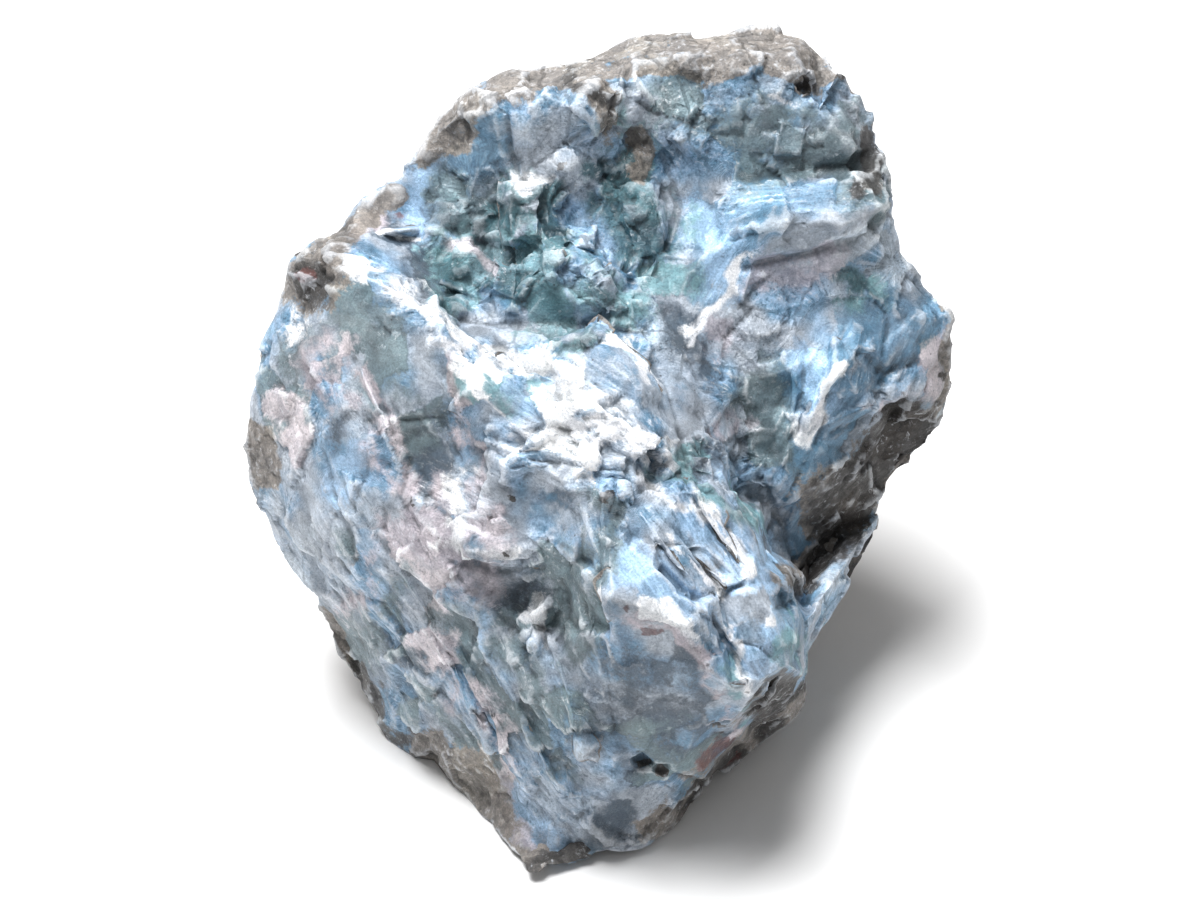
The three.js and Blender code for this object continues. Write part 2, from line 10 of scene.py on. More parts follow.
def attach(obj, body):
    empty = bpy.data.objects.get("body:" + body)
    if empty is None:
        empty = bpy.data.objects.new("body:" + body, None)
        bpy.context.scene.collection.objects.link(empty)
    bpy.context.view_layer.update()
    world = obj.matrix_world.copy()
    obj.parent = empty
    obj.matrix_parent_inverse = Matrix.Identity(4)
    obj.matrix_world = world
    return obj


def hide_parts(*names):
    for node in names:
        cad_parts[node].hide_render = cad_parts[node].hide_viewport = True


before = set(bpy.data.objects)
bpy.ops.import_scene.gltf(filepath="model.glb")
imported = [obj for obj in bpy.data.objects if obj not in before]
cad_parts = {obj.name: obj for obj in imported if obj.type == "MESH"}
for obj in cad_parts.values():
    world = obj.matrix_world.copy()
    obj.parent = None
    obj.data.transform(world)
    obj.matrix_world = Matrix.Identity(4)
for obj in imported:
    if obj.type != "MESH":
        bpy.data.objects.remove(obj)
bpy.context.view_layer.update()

bl_info = {
    "name": "Rough larimar",
    "version": (1, 0, 0),
    "blender": (4, 5, 0),
    "location": "3D View > Sidebar > Larimar",
    "description": "Builds a piece of rough larimar and its stage",
    "category": "Add Mesh",
}

MM = 0.001

# The view that the landmarks of the stone were measured in: right is +X, and the viewer looks down
# by this tilt at a point this high above the floor.
VIEW_TILT = math.radians(40)
VIEW_DISTANCE = 400.0
MIDDLE_HEIGHT = 33.0
VIEW_WIDTH = 120.0
ACROSS = np.array([1.0, 0.0, 0.0])
RISE = np.array([0.0, math.sin(VIEW_TILT), math.cos(VIEW_TILT)])
TOWARDS = np.array([0.0, -math.cos(VIEW_TILT), math.sin(VIEW_TILT)])

# Where each mineral shows, as strokes of the view in millimetres: a half width, and then the points
# [across, rise] that the stroke follows. The last eight are places with a relief of their own.
STROKES = {
    "lilac": [
        (4.5, (1, 9), (6, 4)), (4.5, (8, 15), (10, 5)), (4, (-10, 29), (-6, 31)), (3, (25, 21), (27, 19)),
        (2.8, (-21, -2), (-19, -5)), (3, (-9, -13), (-6, -15)), (2.6, (8, -12), (11, -16)),
        (3, (20, -4), (17, -8)), (3, (-26, 2), (-23, -1)), (3, (-3, -8), (-11, -12)),
        (3.4, (-29, 3), (-31, -4)), (3, (-18, -10), (-22, -6)), (2.6, (-9, -24), (-7, -32)),
        (5, (-29, -10), (-22, -20)), (5, (-16, -24), (-6, -34)), (3, (-28, -2), (-24, -8)),
    ],
    "slate": [
        (3, (27, 7), (31, 9)), (3, (-13, -20), (-10, -26)), (3, (6, -28), (10, -30)),
        (2.4, (-21, -14), (-19, -20)), (7, (3.4, -21), (5, -28)), (4, (8, -21), (10, -24)),
        (5, (8.5, -24), (12, -27)), (2.4, (6, -15), (8.6, -16.4)), (4, (16, -6), (18, -9)),
        (3.2, (-8, -5), (-4, -6)), (4.5, (3.5, -35), (2.5, -38)), (4.2, (-17.6, 2), (-16.4, -3)),
        (3.4, (-20, 21.5), (-18, 19)), (3, (-9, -15), (-6, -17)), (3.4, (-25.5, -1), (-27, 2)),
        (2.4, (12, 8), (8, 13)), (3, (26, 3), (22, -1)), (2.4, (10, -1.5), (13, 1)),
    ],
    "denim": [
        (5, (22, 8), (28, 12)), (5, (19, -2), (21, -9)), (2.4, (15, 26.4), (26, 26)), (4, (22, 3), (28, 8)),
        (3.4, (31, 11), (33, 14)), (3, (13.5, 22), (10, 25)), (2.6, (-6.5, -5), (-4.5, -6.5)),
        (3.6, (18, 3), (22, 8)), (3, (-13, 32), (-11, 28)), (3, (19, -16), (20, -20)),
        (2.6, (-14, -19), (-12, -23)), (3, (9, 20), (10, 17)),
    ],
    "sky": [
        (4, (2.8, -12), (7.5, -14.5)), (3, (8, -5), (13, -11)), (2.4, (-24, 0), (-27, -4)),
        (2, (-19, 24.6), (-15, 22)), (4, (14, -17), (17, -21)), (2.6, (11, -6), (16, -13)),
        (2.2, (20.5, 11), (22.6, 5)), (3, (9, 24), (13, 18)), (2.6, (3, 1), (0, -1)),
        (2.6, (-18, 27), (-21, 29)), (2, (-9, -34), (-4, -40)), (2.4, (-13, -15), (-11, -20)),
    ],
    "grey_green": [
        (5, (10, 33.4), (23, 33)), (3.4, (16, 30.6), (25, 31)), (6, (-25, 14), (-19, 5)),
        (4, (-15, -16), (-9, -28)), (3, (-30, 12), (-31, 8)), (4, (-9, -19), (-4, -30)),
        (3.5, (15, 6), (16.5, 0)), (3, (-31, 8), (-32, 3)), (2.2, (-4, -10), (-2, -20)),
        (3.4, (-21, -13), (-24, -19)), (3, (5, -30), (12, -31)), (3, (-5, 24), (-14, 24)),
        (2.5, (33, 9), (34, 5)), (1.6, (0, -4), (0.6, -16)), (3, (-17, -26), (-11, -31)),
        (2, (-24, -9), (-20, -18)), (3, (28, 26), (24, 29)),
    ],
    "sea_green": [
        (4.4, (3, 30), (4.4, 24), (6, 19.6)), (4.6, (-13, 18), (-6, 18), (0.5, 15.5)),
        (2.8, (-8, 14.5), (-4, 14)), (2.5, (-12.6, 7.2), (-8, 5)), (1.6, (11.8, -4.4), (15, -6.4)),
        (2, (24, 17), (26, 16)), (2, (-1, 12), (-5, 12)), (1.8, (-6.8, 26), (-7.6, 21)),
        (2, (9.4, -1), (6, -2)), (2, (18, -22), (20, -19)), (2, (12, -21), (13.6, -25)),
    ],
    "deep_green": [
        (2.6, (2.6, 24), (5, 20)), (1.8, (-8.6, 16), (-4.4, 15)), (1.1, (-16, 17.6), (-15, 15)),
        (1.4, (24, 17.4), (25.4, 16.4)), (1.2, (-4.8, 25), (-4.8, 22)), (1.6, (3, 29), (0, 28)),
        (1.2, (-10.8, 23), (-8.6, 25)),
    ],
    "beige": [
        (2.6, (-29, 11), (-27, 5)), (2.4, (-15, -6), (-13.4, -14)), (1.8, (-28.6, 11), (-27, 4)),
        (1.8, (-21.6, -3), (-15, -13)), (1.2, (-15.6, 5), (-14.2, 9)),
        (1.2, (2, -16.4), (5, -17.6), (8.6, -18.8)), (1.2, (-25, 10.5), (-22, 5.5), (-20.5, 2)),
        (1.5, (-14, 3), (-12, -4), (-13.4, -10)), (3, (-18, -8), (-15, -14)), (2.4, (-23, 1), (-20, -5)),
        (3, (-11, -6), (-12, -13)), (1.4, (8.6, -19), (11, -24), (13, -27)),
        (1.2, (-14.6, 20.4), (-11, 18)), (1.5, (-28, 19), (-22, 23)), (2, (29, 4), (34, 10)),
        (1.4, (-10, -33), (-6, -41)), (1.4, (-12, -25), (-9, -31)), (2.2, (-21, -9), (-24, -15)),
        (1.6, (-17, -19), (-14, -25)), (1.5, (-30, 0), (-32, 4)),
    ],
    "pink": [
        (2.4, (17, 17), (22.4, 18.6)), (1.6, (12.4, 3.8), (13, 2)), (2, (-29, 9), (-26.6, 6)),
        (2, (-19, -7), (-15, -11)), (1.8, (11, 13), (14, 10)), (1.2, (-8, -39), (-6, -42)),
    ],
    "white": [
        (3, (-6, 2), (3, 0)), (2, (-1, 5), (2, 3)), (1.6, (4, -3), (9, -6)),
        (3.2, (-7, 1.6), (0, 3), (4.6, 1)), (2.6, (-2, 6), (1, 4)),
        (1.6, (-12.4, 8.6), (-9, 9.6), (-5, 8.4)), (1, (-27, 19.4), (-20, 16.4), (-15, 11)),
        (0.8, (14.3, 18.6), (11.5, 15), (9, 12)), (0.9, (1.6, -14.7), (5, -16.3), (8.6, -17.4)),
        (1, (9.4, -4.4), (12.4, -9.4), (15, -13)), (0.6, (7.6, -9), (12.4, -14.6)),
        (0.5, (-21.4, 21.8), (-18, 22)), (1.1, (-13.4, -10.4), (-9, -9)),
        (0.9, (-8, -17), (-6, -16), (-5, -19.5)), (1, (11.6, -18), (14.6, -24.6)), (0.8, (1, 11.4), (5, 7)),
        (1.4, (-13, -3), (-15, -9)), (0.6, (-13, 6.8), (-8.6, 3.9)), (0.9, (20.4, 1.6), (24, 8.6)),
        (1, (-5, 26.4), (-7, 26.8)), (1.2, (17, 35), (20, 34)), (0.8, (12, -16.8), (16, -17)),
        (1.4, (-30.6, 15.4), (-31, 12)), (1.6, (-12, 10), (-16.4, 12)),
    ],
    "rind": [
        (1.7, (-17, 30), (-15.2, 33.4), (-12.5, 36), (-8, 37), (-2.5, 36.8), (0.5, 36.4)),
        (3, (-10, 39.4), (0, 41), (8, 42), (16, 42), (22, 40.5)),
        (1, (2, 38), (12, 39.2), (20, 39), (24.5, 37.5)), (1.3, (-1.5, 35.5), (1, 33.4)),
        (2.8, (-31, 17.4), (-28.5, 18)), (1.2, (-28, 20), (-24.5, 21.4), (-21, 26)),
        (1.5, (-33.5, -2), (-35.4, 2)), (1.2, (-27.6, -18), (-24, -25), (-22, -30)),
        (2.4, (-18, -31.6), (-13, -32.6), (-10, -37)), (1.4, (-8.4, -41), (-6, -43)),
        (2.2, (20, -25.6), (15, -29.6), (11, -33.4), (7, -38)), (3, (23, -5), (28, -2.5), (32, 1)),
        (1.1, (32, 2.5), (35.6, 8), (35, 13)), (1.4, (19.4, -12.6), (22, -9)), (1.2, (4, 31), (4.6, 28.4)),
    ],
    "basalt": [
        # The first stroke lies under the wing: partly dark rock and partly painted shade.
        (3, (24.4, -5), (29, -2), (33, 1.6)), (1.6, (20.4, -13), (22.6, -9.4), (24.6, -7.6)),
        (1.8, (16, -27), (19.6, -24)), (1.4, (9, -34.6), (13, -31)), (1.6, (-30, 17.6), (-28.4, 16.6)),
        (1.2, (-24.6, -22), (-21, -29.6)), (1, (-3, 36), (1.4, 35)), (1.2, (27, 27), (27.6, 30)),
    ],
    "dark": [
        # The first two strokes lie under the wing: partly dark rock and partly painted shade.
        (1.6, (28, 0.6), (31, 3.6)), (1.4, (23.6, -7), (27, -5.4)), (0.6, (4.1, -31.3)),
        (0.5, (6.2, -32.2)), (0.6, (12, -27.8)), (1.4, (16, -26)), (0.7, (17.3, -23.6)),
        (0.7, (20.5, 36.7)), (0.5, (34.6, 7.5)), (0.6, (9.9, -33.4)), (0.45, (-4, 28.3)),
        (0.35, (-18.9, -5.6)), (0.3, (-9.4, -10.6)), (0.35, (-8.7, -4.9)), (0.4, (-15, -35)),
        (0.5, (0.6, -4.6)),
    ],
    "red": [
        (1.2, (10.8, -31.4), (13, -29.4)), (0.4, (2.8, -15.9)), (0.5, (4.6, -18.2), (5.8, -18.2)),
        (0.8, (-29.6, 17.6)), (0.5, (-20, 23.6)),
    ],
    "flank": [
        (7, (-20, -12), (-12, -28)), (7, (-10, -20), (-3, -34)), (3, (0, -4), (0.6, -24)),
        (5, (-26, -6), (-22, -18)), (4, (-26, 10), (-22, 2)),
    ],
    "nose": [
        (5, (5, -4), (14, -14)), (4, (4, -12), (8, -15)), (4, (12, -16), (17, -22)),
        (3, (10, -18), (13, -24)),
    ],
    "wing": [
        (5, (20, 2), (24, 10)), (5, (27, 6), (32, 12)), (4, (18, -6), (24, -3)), (3, (9, 14), (14, 24)),
    ],
    "crest": [
        (5, (-9, 0), (2, -1)), (4, (-2, 8), (5, 3)), (4, (-20, -2), (-12, -6)), (4, (-12, 8), (-7, 5)),
    ],
    "ledge": [
        (3, (14, 25.6), (27, 26)), (4, (-22, 24), (-15, 20)), (3, (-26, 19), (-16, 13)),
    ],
    "smooth": [
        (4, (9, 24), (12, 19), (9, 14)), (3.4, (-27, 12), (-24, 15)), (3.4, (-18, 28), (-21, 24)),
        (3.4, (24, 12), (21, 8)), (3, (25, 3), (21, 0)), (3, (-13, 30), (-9, 32)), (3.4, (-11, 6), (-9, 5)),
        (3.4, (15, 32), (22, 33)), (3, (-20, 8), (-18, 5)), (4, (10, -9), (15, -12)),
        (3.4, (6, -30), (10, -31)), (3, (16, 19), (24, 20.5)), (3, (-4, 15), (-9, 14)),
        (6, (4, -21), (7, -28)), (4, (9, -25), (12, -27)), (4, (3, -36)), (3.6, (-7, -5.4), (-4.6, -6)),
        (3, (-16.6, 0), (-16, -2)), (3.4, (-25.5, -1)), (3.6, (3, -12), (7, -14)), (3.4, (8, 20), (11, 14)),
        (3.4, (-20, 21)), (3, (24, 22)), (4, (14.5, -17), (18, -21)), (2.6, (12.4, -20), (14, -24)),
        (3, (11, -6), (15, -12)), (3, (20, -4), (18, -8)), (3, (1, 9), (6, 4)), (3, (-26, 11), (-22, 7)),
        (3, (-22, -4)), (3, (29, 12), (32, 10)), (3, (-28, -4)),
    ],
    "blocks": [
        (5, (3, 30), (5, 20)), (5, (-13, 18), (0, 16)), (4, (-14, 24), (-5, 24)), (4, (6, -1.6), (14, -2)),
        (5, (11, 35), (24, 32)),
    ],
    "flakes": [
        (5, (-8, 1), (4, 2)), (3, (2, 9), (6, 3)), (4, (-7, -17), (-6, -20)), (3, (-12, 8), (-6, 9)),
    ],
}

# Small marks that stay where they are, and minerals whose edges follow the chips of the stone.
SPOTS = ("dark", "red")
MIXED = ("lilac", "slate", "denim", "sky", "grey_green", "sea_green", "beige", "pink", "white")

# The far side was never split: it is rind and weathered green, with some blue showing through. Each
# mineral has how much of it there is, and the size of its patches in millimetres.
FAR_SIDE = {"rind": (0.9, 13), "grey_green": (0.5, 9), "beige": (0.3, 7), "basalt": (-0.1, 10)}

# Cracks and creases of the view: a half width, a depth (raised where it is negative), and points.
CREASES = [
    (0.5, 0.7, (-9.7, 33.6), (-8.9, 30), (-7.9, 27.6)), (0.6, -0.35, (-10.6, 33), (-10, 30), (-8.6, 27.4)),
    (0.5, 0.9, (6.2, -12), (8, -14.2), (9.6, -15)), (0.4, 0.8, (7.4, -7.4), (10.4, -11.4), (12.6, -14.4)),
    (0.5, 0.9, (11, -16), (12.6, -19.2), (14.4, -22.6)), (0.4, 0.7, (9.4, -5), (11.6, -8.4), (14, -12.4)),
    (0.4, 0.6, (9.4, -15), (12, -14.2), (15.4, -13.2)), (0.4, 0.5, (14, -19.4), (16, -20), (17.4, -21)),
    (0.6, 0.8, (-13.8, -11.6), (-9, -11.9), (-5.6, -11.6)),
    (0.5, 0.5, (0.2, -4), (-0.2, -12), (0.4, -20), (1.2, -28)),
    (0.7, 0.9, (14.4, 18.2), (18, 19), (22, 19.8), (26, 21), (28.4, 23.6)),
    (0.5, 0.5, (3.8, -30.4), (5, -31.6), (7.4, -32.8), (10, -33.2)),
    (0.5, 0.6, (21.4, 0.6), (23, 4.6), (25, 8.6)), (0.5, 0.5, (19, 1.4), (20.4, 6), (20.6, 9.6)),
    (0.5, 0.5, (23, 1.6), (27, 3.4), (30, 4.8)), (0.4, 0.5, (20.4, -1.4), (18.6, -5), (17, -8)),
    (0.5, 0.6, (16, -3), (18.6, -7.6), (19.4, -11)), (0.5, 0.5, (28, 8), (29, 12), (28.6, 15)),
    (0.6, 0.7, (6.4, 29.4), (7.6, 24.6), (7, 20.4), (4, 17.4)),
    (0.5, 0.6, (-5, 27), (-5.2, 24), (-5, 21.6)), (0.6, 0.7, (-16, 14.4), (-10, 12.4), (-4, 12), (0, 13)),
    (0.5, 0.6, (0.4, 18.6), (3, 16), (3.4, 13.8)), (0.6, 0.6, (-24.6, 9), (-22, 4.8), (-20.6, 1.6)),
    (0.5, 0.5, (-20, 3), (-16, 3), (-14, -1)), (0.5, 0.5, (-19, -1), (-20, -5), (-18, -8)),
    (0.4, 0.4, (-24, 3), (-23, -2), (-24.6, -6)), (0.5, 0.5, (-28, 0), (-26, -6), (-24.6, -10)),
    (0.4, 0.5, (12, 7), (12.6, 11), (15, 14)), (0.5, 0.5, (8.6, 10), (10.4, 6), (12.6, 5)),
    (0.6, 0.6, (2.8, 38), (3.4, 35), (5.6, 33.8)), (0.4, 0.5, (-1, 30), (1, 33), (2, 36)),
    (0.4, 0.5, (-7, -1), (-2, -1.6), (3, -2)), (0.4, 0.5, (-4, 5.4), (-1, 3), (2, 3.4)),
    (0.4, 0.5, (5.6, 8.6), (7.6, 3.6), (9, 0)),
]

# Which way the fibres run in each region, as a direction of the view: across, rise, towards.
FIBRE_LINES = {
    "flank": (0.42, -0.9, 0.1),
    "nose": (0.6, -0.78, 0.15),
    "wing": (0.5, 0.85, 0.0),
    "crest": (0.7, -0.35, 0.4),
    "ledge": (0.95, 0.1, 0.1),
}

# Sizes in millimetres of the forms in the relief: from the middle of one to the middle of the next.
FAN_SIZE = 7.0
SMALL_CHIP_SIZE = 2.1
LUMP_SIZE = 4.4
SMALL_LUMP_SIZE = 2.2
GRIT_SIZE = 0.6
WARP_SIZE = 4.0

# How far the warp shifts the chips, the small chips, the fibres and the creases, in millimetres.
CHIP_WARP, SMALL_CHIP_WARP, FIBRE_WARP, CREASE_WARP = 0.3, 0.15, 0.3, 0.3

# How much the chips lean, as a slope, and how far they stand above each other in millimetres.
CHIP_STEP = 0.06
SMALL_CHIP_TILT, SMALL_CHIP_STEP = 0.17, 0.02
BLOCK_TILT = 0.14

# Shares of the relief: what smooth faces lose of their chips, small chips and fibres, and how high the
# small chips are on most faces and what flakes add to that.
SMOOTH_CHIPS, SMOOTH_SMALL_CHIPS, SMOOTH_FIBRES = 0.8, 0.9, 0.6
SMALL_CHIPS, FLAKE_CHIPS = 0.36, 0.6

# Bundles of fibres are wider than the set width and the needles in them narrower. Each has a share of
# the depth, and the ridge of a bundle falls off this steeply.
BUNDLE_WIDTH, NEEDLE_WIDTH = 1.6, 0.6
BUNDLE_DEPTH, NEEDLE_DEPTH = 0.6, 0.5
BUNDLE_FALL = 2.4

# Height of the grit in millimetres: everywhere, and what the rind and the blocky crystals add to it.
GRIT, RIND_GRIT, BLOCK_GRIT = 0.04, 0.14, 0.05
CREASE_DEPTH = 0.8

# The relief grows from nothing to its full height between these heights above the floor, so that the
# stone stands as its solid does.
RELIEF_BEGINS, RELIEF_IS_FULL = 0.1, 1.6

# How many times longer than wide the fibres are, in the relief and in the streaks of colour.
RELIEF_STRETCH = 9
STREAK_STRETCH = 8

# The most that a point may stand out of its neighbours, so that no face folds over, in millimetres.
STEEPEST_STEP = 0.3

# The solid's edges are brought to this length before its ridges are rounded, in millimetres: on the
# side that the viewer sees, and on the far side.
ROUNDED_EDGE, FAR_ROUNDED_EDGE = 1.6, 1.8
MERGE_DISTANCE = 0.02
FLAT_SPOT = 0.05
MOST_PASSES = 9
SHARP_ANGLE = math.radians(32)

# How far the edges of the minerals wander, as the size of the bends, their reach in millimetres and a
# shift that makes each differ: two sorts of bend for most, and a small one for the spots.
WIDE_BENDS, SMALL_BENDS, RAGGED_BENDS = (5.0, 1.3, 0), (1.8, 0.5, 200), (0.8, 0.4, 400)
FACET_PULL = 0.3
PATCH_CONTRAST = 1.1

# Rings of neighbours that are averaged: for the slope of the relief, for the direction in which it
# stands out, and for how far a place stands out of what is around it.
SLOPE_RINGS, OUTWARD_RINGS, RIDGE_RINGS = 1, 3, 5
LOST_ON_FAR_SIDE = 0.85

# The noises that break up the colours: the size of each in millimetres, its detail and its roughness.
# A fibre of pectolite is a few hundredths of a millimetre thick, which is too fine to show, so the
# streaks are drawn as coarse as they need to be. The grain of the stone is drawn coarser too.
PATTERNS = {
    "mottle": (2.6, 4, 0.64),
    "clouds": (6.5, 2, 0.5),
    "fray": (0.9, 4, 0.72),
    "grain": (0.22, 1, 0.7),
    "streaks": (0.62, 5, 0.68),
}
SPLINTER_SIZE = 1.5

# How each mineral is painted, from the first to the last: the pattern that its two tones follow, the
# width of its soft edge and how pure it is in the middle.
MINERALS = {
    "lilac": ("streaks", 0.8, 0.8),
    "slate": ("mottle", 0.8, 0.95),
    "denim": ("streaks", 0.8, 0.8),
    "sky": ("streaks", 0.8, 0.8),
    "grey_green": ("mottle", 0.8, 0.9),
    "sea_green": ("mottle", 0.7, 0.85),
    "deep_green": ("mottle", 0.7, 0.85),
    "beige": ("mottle", 0.8, 0.75),
    "pink": ("fray", 0.8, 0.75),
    "white": ("streaks", 0.8, 1.0),
    "rind": ("fray", 0.4, 0.95),
    "basalt": ("fray", 0.5, 0.95),
    "dark": ("fray", 0.3, 0.95),
    "red": ("fray", 0.6, 0.75),
}

# A mineral begins where its mask and the ragged pattern add up to this.
MINERAL_BEGINS = 1.66
DEEPER, LIGHTER = 0.78, 1.2

# Strengths of the marks on the broken faces, and the share of them that is left on smooth faces.
# The ridge strengths are those of a painted highlight, and the hollow strength is that of painted shade.
NEEDLES, GAPS, SPECKS, RIDGE_HIGHLIGHT, BLOCK_RIDGE_HIGHLIGHT, HOLLOW_SHADE = 0.55, 0.45, 0.6, 0.38, 0.16, 0.5
LEFT_ON_SMOOTH = 0.35
GAP_COLOUR = "7D868C"
# The colour of the painted shade in the hollows.
HOLLOW_SHADE_COLOUR = "6A7274"

# The darkest and the lightest shade of a facet, a splinter and a grain, as shares of the colour.
FACET_SHADES = (0.84, 0.84, 0.86, 1), (1.1, 1.1, 1.1, 1)
SPLINTER_SHADES = (0.84, 0.85, 0.87, 1), (1.14, 1.13, 1.12, 1)
GRAIN_SHADES = (0.84, 0.85, 0.86, 1), (1.14, 1.13, 1.12, 1)

PECTOLITE_IOR = 1.6
SILKY, DULL, RIND_ROUGHNESS = 0.4, 0.6, 0.263
BUMP_DEPTH = 0.35


class LarimarSizes(bpy.types.PropertyGroup):
    """Sizes of the stone's fine relief"""

    fine_edge: bpy.props.FloatProperty(
        name="Fine edge",
        description="Longest edge of a facet on the broken side",
        default=0.57 * MM,
        unit="LENGTH",
    )
    coarse_edge: bpy.props.FloatProperty(
        name="Coarse edge",
        description="Longest edge of a facet on the far side",
        default=1.5 * MM,
        unit="LENGTH",
    )
    chip_size: bpy.props.FloatProperty(
        name="Chip size",
        description="Distance between the flat chips of the broken faces",
        default=4.4 * MM,
        unit="LENGTH",
    )
    chip_tilt: bpy.props.FloatProperty(
        name="Chip tilt", description="How much a chip leans, as a slope", default=0.17, min=0.0, max=1.0
    )
    block_size: bpy.props.FloatProperty(
        name="Block size",
        description="Distance between the blocky green crystals",
        default=2.7 * MM,
        unit="LENGTH",
    )
    block_step: bpy.props.FloatProperty(
        name="Block step",
        description="How far a blocky crystal stands above or below the rest",
        default=0.154 * MM,
        unit="LENGTH",
    )
    fibre_width: bpy.props.FloatProperty(
        name="Fibre bundle width",
        description="Distance between bundles of fibres",
        default=1.1 * MM,
        unit="LENGTH",
    )
    fibre_depth: bpy.props.FloatProperty(
        name="Fibre bundle depth",
        description="Depth of the grooves between bundles",
        default=0.42 * MM,
        unit="LENGTH",
    )
    rind_height: bpy.props.FloatProperty(
        name="Rind height", description="Height of the lumps of the rind", default=1.1 * MM, unit="LENGTH"
    )


class LarimarColours(bpy.types.PropertyGroup):
    """Colours of the stone's minerals, as sRGB hex values"""

    sky: bpy.props.StringProperty(name="Sky blue", description="Bright fibrous pectolite", default="9EC0DE")
    denim: bpy.props.StringProperty(name="Denim blue", description="Deeper blue pectolite", default="5984A0")
    lilac: bpy.props.StringProperty(name="Lilac", description="Pale blue with a violet cast", default="AEB8C2")
    slate: bpy.props.StringProperty(name="Slate", description="Smooth grey-blue faces", default="445462")
    grey_green: bpy.props.StringProperty(name="Grey green", description="Weathered green faces", default="65787D")
    sea_green: bpy.props.StringProperty(name="Sea green", description="Blocky green crystals", default="6C949A")
    deep_green: bpy.props.StringProperty(name="Deep green", description="Clear dark green crystals", default="3B636C")
    beige: bpy.props.StringProperty(name="Beige", description="Stained and weathered stone", default="CDC2C6")
    pink: bpy.props.StringProperty(name="Pink", description="Pinkish grey calcite", default="ADA6AE")
    white: bpy.props.StringProperty(name="White", description="Snow white pectolite", default="F4F9FD")
    rind: bpy.props.StringProperty(name="Rind", description="Brown-grey basalt rind", default="89827A")
    # Basalt is kept dark partly as painted shade for the strokes under the wing.
    basalt: bpy.props.StringProperty(name="Basalt", description="Dark rock beside the rind", default="484644")
    dark: bpy.props.StringProperty(name="Dark", description="Open pits and dark basalt", default="3A342F")
    red: bpy.props.StringProperty(name="Rust red", description="Haematite stains", default="5E2F2B")


class StageSettings(bpy.types.PropertyGroup):
    """The floor, the lights and the camera"""

    floor: bpy.props.StringProperty(name="Floor", description="Colour of the floor, as sRGB hex", default="F4F4F4")
    floor_reach: bpy.props.FloatProperty(
        name="Floor reach", description="From the stone to the edge of the floor", default=2.0, unit="LENGTH"
    )
    key_power: bpy.props.FloatProperty(
        name="Key light", description="Power of the softbox overhead", default=7.8, unit="POWER"
    )
    key_size: bpy.props.FloatProperty(
        name="Softbox size", description="Length of a side of the softbox", default=0.35, unit="LENGTH"
    )
    key_place: bpy.props.FloatVectorProperty(
        name="Softbox place", description="Middle of the softbox", default=(-0.12, 0.1, 0.6), subtype="TRANSLATION"
    )
    key_aim: bpy.props.FloatVectorProperty(
        name="Softbox aim", description="Point that the softbox faces", default=(0, 0, 0.03), subtype="TRANSLATION"
    )
    fill: bpy.props.FloatProperty(
        name="Fill", description="Brightness of the light from all around", default=0.29, min=0
    )
    view_distance: bpy.props.FloatProperty(
        name="View distance",
        description="From the lens to the middle of the stone",
        default=VIEW_DISTANCE * MM,
        unit="LENGTH",
    )
    film_width: bpy.props.FloatProperty(
        name="Film width", description="Width of the camera's film, in millimetres", default=36.0
    )


def linear(hex_colour):
    """Linear RGBA from an sRGB hex value."""
    channels = [int(hex_colour[i:i + 2], 16) / 255 for i in (0, 2, 4)]
    return tuple(c / 12.92 if c <= 0.04045 else ((c + 0.055) / 1.055) ** 2.4 for c in channels) + (1.0,)


def two_tones(hex_colour):
    """A deeper and a lighter tone of a colour, as linear RGBA."""
    base = linear(hex_colour)[:3]
    return tuple(c * DEEPER for c in base) + (1.0,), tuple(min(1.0, c * LIGHTER) for c in base) + (1.0,)


def add_node(tree, kind, settings=None, inputs=None):
    """Adds a node with its settings. Each input is a value, or a socket to link it to."""
    node = tree.nodes.new(kind)
    for name, value in (settings or {}).items():
        setattr(node, name, value)
    for name, value in (inputs or {}).items():
        if isinstance(value, bpy.types.NodeSocket):
            tree.links.new(value, node.inputs[name])
        else:
            node.inputs[name].default_value = value
    return node


def smoothstep(value, low, high):
    """0 at low, 1 at high and smooth between them. Low may be the higher of the two."""
    t = np.clip((value - low) / (high - low), 0, 1)
    return t * t * (3 - 2 * t)


def as_seen(points):
    """Points in millimetres as the viewer sees them: across and rise."""
    from_middle = points - np.array([0.0, 0.0, MIDDLE_HEIGHT])
    scale = 1 - from_middle @ TOWARDS / VIEW_DISTANCE
    return np.stack([points @ ACROSS / scale, from_middle @ RISE / scale], axis=1)


def distance_to_line(seen, line):
    """Distance in the view from each point to a line through the given places."""
    places = [np.array(place, float) for place in line]
    if len(places) == 1:
        return np.linalg.norm(seen - places[0], axis=1)
    nearest = np.full(len(seen), np.inf)
    for start, end in zip(places, places[1:]):
        run = end - start
        share = np.clip((seen - start) @ run / (run @ run), 0, 1)
        nearest = np.minimum(nearest, np.linalg.norm(seen - start - share[:, None] * run, axis=1))
    return nearest


def coverage(seen, strokes):
    """1 along the middle of the strokes, 0 at their edges and -1 well away from them."""
    best = np.full(len(seen), -1.0)
    for half_width, *line in strokes:
        best = np.maximum(best, 1 - distance_to_line(seen, line) / half_width)
    return best


def unevenness(points, size):
    """Smooth noise from -1 to 1 with lumps of about the given size."""
    return np.array([noise.noise(Vector(p)) for p in points / size])


def drift(points, size):
    """A smooth sideways shift that differs from place to place, up to about 1 each way."""
    return np.stack([unevenness(points + shift, size) for shift in (0, 31, 67)], axis=1) * 1.6


def stretched(points, line, times):
    """Points drawn together along a direction of the view, so that noise on them forms fibres."""
    axis = line[0] * ACROSS + line[1] * RISE + line[2] * TOWARDS
    axis = axis / np.linalg.norm(axis)
    along = points @ axis
    return points - np.outer(along * (1 - 1 / times), axis)


